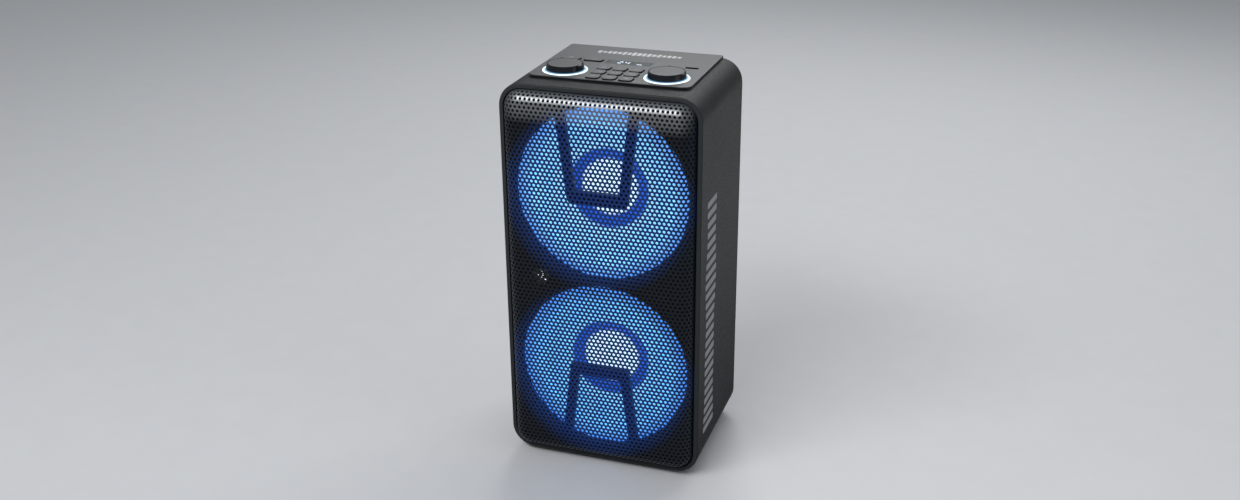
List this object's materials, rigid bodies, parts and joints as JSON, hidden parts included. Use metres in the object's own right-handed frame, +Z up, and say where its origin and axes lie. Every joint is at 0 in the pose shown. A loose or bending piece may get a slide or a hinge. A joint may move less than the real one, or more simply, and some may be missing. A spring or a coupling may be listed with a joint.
{
  "type": "party speaker",
  "caption": "Tower party speaker with a domed grille over lit stacked drivers, and a top control panel with knobs and keys in light rings.",
  "frame": {"origin": "on the standing surface, under the middle of the bounding box", "axes": "+Z up, the grille faces -Y, +X to the right as seen from the front"},
  "size_m": [0.19, 0.15, 0.3852],
  "materials": {
    "shell_plastic": "fine moulded texture",
    "panel_paint": "satin grey paint",
    "grille_paint": "satin black powder coat",
    "inner_plastic": "matt moulded",
    "rubber": "matt",
    "steel_screw": "black zinc",
    "chassis_steel": "black paint",
    "magnet": "bare ferrite",
    "motor_steel": "zinc plated",
    "cone_lit": "translucent moulding, lit from behind",
    "cap_lit": "translucent moulding, lit from behind",
    "surround_lit": "translucent rubber, lit from behind",
    "spider_cloth": "resin-stiffened cloth",
    "coil": "foil former with its copper winding",
    "circuit_board": "solder mask",
    "strobe": "clear lens",
    "ring_lit": "milky diffuser, lit from behind",
    "knob_gloss": "black chrome",
    "knob_top": "satin grey",
    "key_top": "satin grey",
    "display_lens": "smoked",
    "display_digits": "segment display",
    "mat_rubber": "silicone",
    "battery_wrap": "shrink wrap",
    "aluminium_fins": "extruded",
    "plated_steel": "nickel plated",
    "shaft_steel": "turned",
    "wire_jacket": "flexible vinyl"
  },
  "bodies": {
    "housing": {"cabinet": "shell_plastic", "rubber_feet": "rubber", "front_baffle": "inner_plastic", "strobe_light": "strobe", "front_grille": "grille_paint", "upper_brace": "inner_plastic", "lower_brace": "inner_plastic", "upper_chassis": "chassis_steel", "lower_chassis": "chassis_steel", "upper_surround": "surround_lit", "lower_surround": "surround_lit", "upper_spider": "spider_cloth", "lower_spider": "spider_cloth", "led_rings": "circuit_board", "magnets": "magnet", "motor_steels": "motor_steel", "front_screws": "steel_screw", "rear_screws": "steel_screw", "rear_panel": "shell_plastic", "bass_port": "inner_plastic", "mic_jack": "inner_plastic", "dc_socket": "inner_plastic", "main_board": "circuit_board", "heat_sink": "aluminium_fins", "battery_pack": "battery_wrap", "control_panel": "panel_paint", "panel_screws": "steel_screw", "display_window": "display_lens", "display_module": "display_digits", "control_board": "circuit_board", "keypad_mat": "mat_rubber", "encoder_housings": "plated_steel", "left_light_ring": "ring_lit", "right_light_ring": "ring_lit", "usb_port": "plated_steel", "aux_jack": "inner_plastic", "speaker_leads": "wire_jacket"},
    "left_knob_body": {"left_knob": "knob_gloss", "left_knob_cap": "knob_top", "left_encoder_shaft": "shaft_steel"},
    "right_knob_body": {"right_knob": "knob_gloss", "right_knob_cap": "knob_top", "right_encoder_shaft": "shaft_steel"},
    "bass_key_body": {"bass_key": "key_top"},
    "echo_key_body": {"echo_key": "key_top"},
    "record_key_body": {"record_key": "key_top"},
    "previous_key_body": {"previous_key": "key_top"},
    "play_key_body": {"play_key": "key_top"},
    "next_key_body": {"next_key": "key_top"},
    "mode_key_body": {"mode_key": "key_top"},
    "menu_key_body": {"menu_key": "key_top"},
    "repeat_key_body": {"repeat_key": "key_top"},
    "lights_key_body": {"lights_key": "key_top"},
    "power_key_body": {"power_key": "key_top"},
    "upper_cone_body": {"upper_cone": "cone_lit", "upper_dust_cap": "cap_lit", "upper_voice_coil": "coil"},
    "lower_cone_body": {"lower_cone": "cone_lit", "lower_dust_cap": "cap_lit", "lower_voice_coil": "coil"}
  },
  "joints": [
    {"name": "left_knob_turn", "type": "hinge", "parent": "housing", "child": "left_knob_body", "pos_m": [-0.0484, -0.018, 0.376], "axis": [0, 0, 1], "continuous": true},
    {"name": "right_knob_turn", "type": "hinge", "parent": "housing", "child": "right_knob_body", "pos_m": [0.0484, -0.018, 0.376], "axis": [0, 0, 1], "continuous": true},
    {"name": "bass_key_press", "type": "slide", "parent": "housing", "child": "bass_key_body", "axis": [0, 0, -1], "range_m": [0, 0.0008], "stiffness_N_per_m": 2000, "springref_m": -0.0001},
    {"name": "echo_key_press", "type": "slide", "parent": "housing", "child": "echo_key_body", "axis": [0, 0, -1], "range_m": [0, 0.0008], "stiffness_N_per_m": 2000, "springref_m": -0.0001},
    {"name": "record_key_press", "type": "slide", "parent": "housing", "child": "record_key_body", "axis": [0, 0, -1], "range_m": [0, 0.0008], "stiffness_N_per_m": 2000, "springref_m": -0.0001},
    {"name": "previous_key_press", "type": "slide", "parent": "housing", "child": "previous_key_body", "axis": [0, 0, -1], "range_m": [0, 0.0008], "stiffness_N_per_m": 2000, "springref_m": -0.0001},
    {"name": "play_key_press", "type": "slide", "parent": "housing", "child": "play_key_body", "axis": [0, 0, -1], "range_m": [0, 0.0008], "stiffness_N_per_m": 2000, "springref_m": -0.0001},
    {"name": "next_key_press", "type": "slide", "parent": "housing", "child": "next_key_body", "axis": [0, 0, -1], "range_m": [0, 0.0008], "stiffness_N_per_m": 2000, "springref_m": -0.0001},
    {"name": "mode_key_press", "type": "slide", "parent": "housing", "child": "mode_key_body", "axis": [0, 0, -1], "range_m": [0, 0.0008], "stiffness_N_per_m": 2000, "springref_m": -0.0001},
    {"name": "menu_key_press", "type": "slide", "parent": "housing", "child": "menu_key_body", "axis": [0, 0, -1], "range_m": [0, 0.0008], "stiffness_N_per_m": 2000, "springref_m": -0.0001},
    {"name": "repeat_key_press", "type": "slide", "parent": "housing", "child": "repeat_key_body", "axis": [0, 0, -1], "range_m": [0, 0.0008], "stiffness_N_per_m": 2000, "springref_m": -0.0001},
    {"name": "lights_key_press", "type": "slide", "parent": "housing", "child": "lights_key_body", "axis": [0, 0, -1], "range_m": [0, 0.0008], "stiffness_N_per_m": 2000, "springref_m": -0.0001},
    {"name": "power_key_press", "type": "slide", "parent": "housing", "child": "power_key_body", "axis": [0, 0, -1], "range_m": [0, 0.0008], "stiffness_N_per_m": 2000, "springref_m": -0.0001},
    {"name": "upper_cone_stroke", "type": "slide", "parent": "housing", "child": "upper_cone_body", "axis": [0, -1, 0], "range_m": [-0.0025, 0.0025], "stiffness_N_per_m": 1500, "deforming": ["upper_surround", "upper_spider"]},
    {"name": "lower_cone_stroke", "type": "slide", "parent": "housing", "child": "lower_cone_body", "axis": [0, -1, 0], "range_m": [-0.0025, 0.0025], "stiffness_N_per_m": 1500, "deforming": ["lower_surround", "lower_spider"]}
  ]
}
